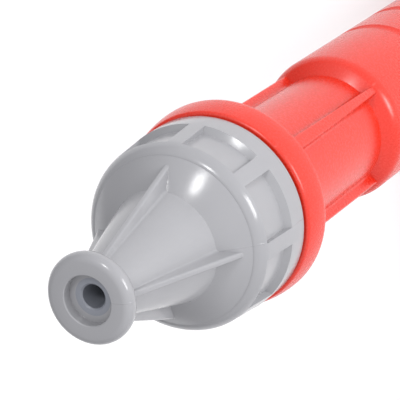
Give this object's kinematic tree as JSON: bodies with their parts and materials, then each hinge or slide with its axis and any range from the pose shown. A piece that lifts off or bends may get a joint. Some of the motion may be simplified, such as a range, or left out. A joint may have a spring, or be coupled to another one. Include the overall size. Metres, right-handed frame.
{
  "type": "fire hose nozzle",
  "caption": "Twist-head hose-reel nozzle: a ribbed barrel with a grip and a head that climbs as it turns to open the jet.",
  "frame": {"origin": "centre of the flat hose-end face, on the nozzle's axis", "axes": "+Z along the nozzle's axis towards the jet; +X in line with one of the four ribs on the nose cone"},
  "size_m": [0.06, 0.06, 0.262],
  "materials": {
    "red_moulding": "glossy moulded",
    "grey_moulding": "glossy moulded",
    "orifice_grey": "turned",
    "acetal": "satin moulded",
    "brass": "turned",
    "stainless": "plain",
    "rubber": "matte"
  },
  "bodies": {
    "barrel_body": {"barrel": "red_moulding", "inlet_insert": "brass", "inlet_strainer": "stainless", "inlet_gasket": "rubber", "flow_straightener": "acetal", "valve_spigot": "acetal", "spigot_o_ring": "rubber", "head_o_ring": "rubber", "spigot_screws": "stainless", "stem_spider": "brass", "spider_circlip": "stainless", "needle_stem": "brass", "stem_nut": "brass", "swirl_vane": "acetal", "seat_washer": "rubber", "washer_screw": "brass"},
    "index_carrier": {"index_ring": "acetal", "disc_spring": "stainless"},
    "head": {"nose_cone": "grey_moulding", "grip_collar": "grey_moulding", "cam_sleeve": "acetal", "cam_pins": "stainless", "collar_circlip": "stainless", "orifice_insert": "orifice_grey", "orifice_o_ring": "rubber"}
  },
  "joints": [
    {"name": "head_advance", "type": "slide", "parent": "barrel_body", "child": "index_carrier", "axis": [0, 0, 1], "range_m": [0, 0.008]},
    {"name": "head_turn", "type": "hinge", "parent": "index_carrier", "child": "head", "pos_m": [0, 0, 0.1922], "axis": [0, 0, 1], "range_deg": [0, 120]}
  ],
  "couplings": [
    {"joint": "head_advance", "follows": "head_turn", "m_per_rad": 0.0038197}
  ]
}
